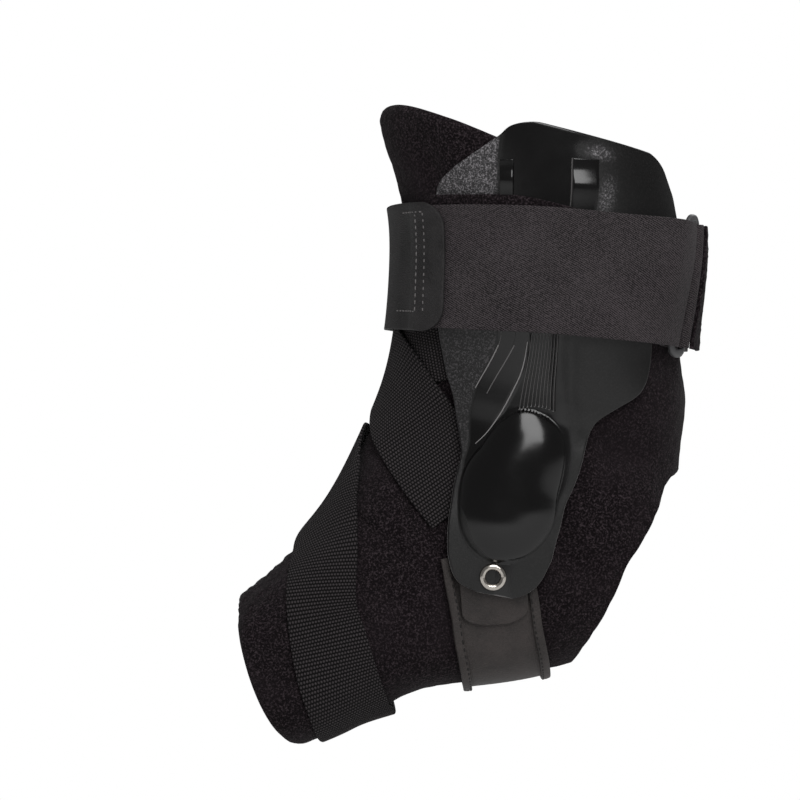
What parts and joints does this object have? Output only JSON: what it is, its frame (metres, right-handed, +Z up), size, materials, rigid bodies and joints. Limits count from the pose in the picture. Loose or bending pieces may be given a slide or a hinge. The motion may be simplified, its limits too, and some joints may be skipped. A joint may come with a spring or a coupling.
{
  "type": "ankle brace",
  "caption": "Padded ankle brace with an open heel, crossed elastic bands, riveted side shells, a sole stirrup and a closing strap with its ring.",
  "frame": {"origin": "the middle of the ankle that the brace is worn on", "axes": "+X to the heel, -X to the toes, +Z up the leg, -Y to the medial side of a right foot"},
  "size_m": [0.1672, 0.0986, 0.2274],
  "materials": {
    "padded_cloth": "loop pile",
    "elastic": "ribbed weave",
    "strap_cloth": "brushed pile",
    "coated_fabric": "satin grain",
    "shell_plastic": "gloss centre in a grained border",
    "ring_plastic": "satin",
    "bright_metal": "polished"
  },
  "bodies": {
    "root": {"sleeve": "padded_cloth", "ankle_band": "elastic", "cross_band": "elastic", "instep_band": "elastic", "stirrup_strap": "coated_fabric", "stirrup_binding_front": "coated_fabric", "stirrup_binding_rear": "coated_fabric", "stirrup_tongue_medial": "coated_fabric", "stirrup_tongue_lateral": "coated_fabric", "shell_pad_medial": "padded_cloth", "shell_pad_lateral": "padded_cloth", "shell_medial": "shell_plastic", "shell_lateral": "shell_plastic", "rivet_medial": "bright_metal", "rivet_lateral": "bright_metal", "cuff_band": "strap_cloth", "closure_strap": "strap_cloth", "grip_tab": "coated_fabric", "strap_ring": "ring_plastic"}
  },
  "joints": []
}
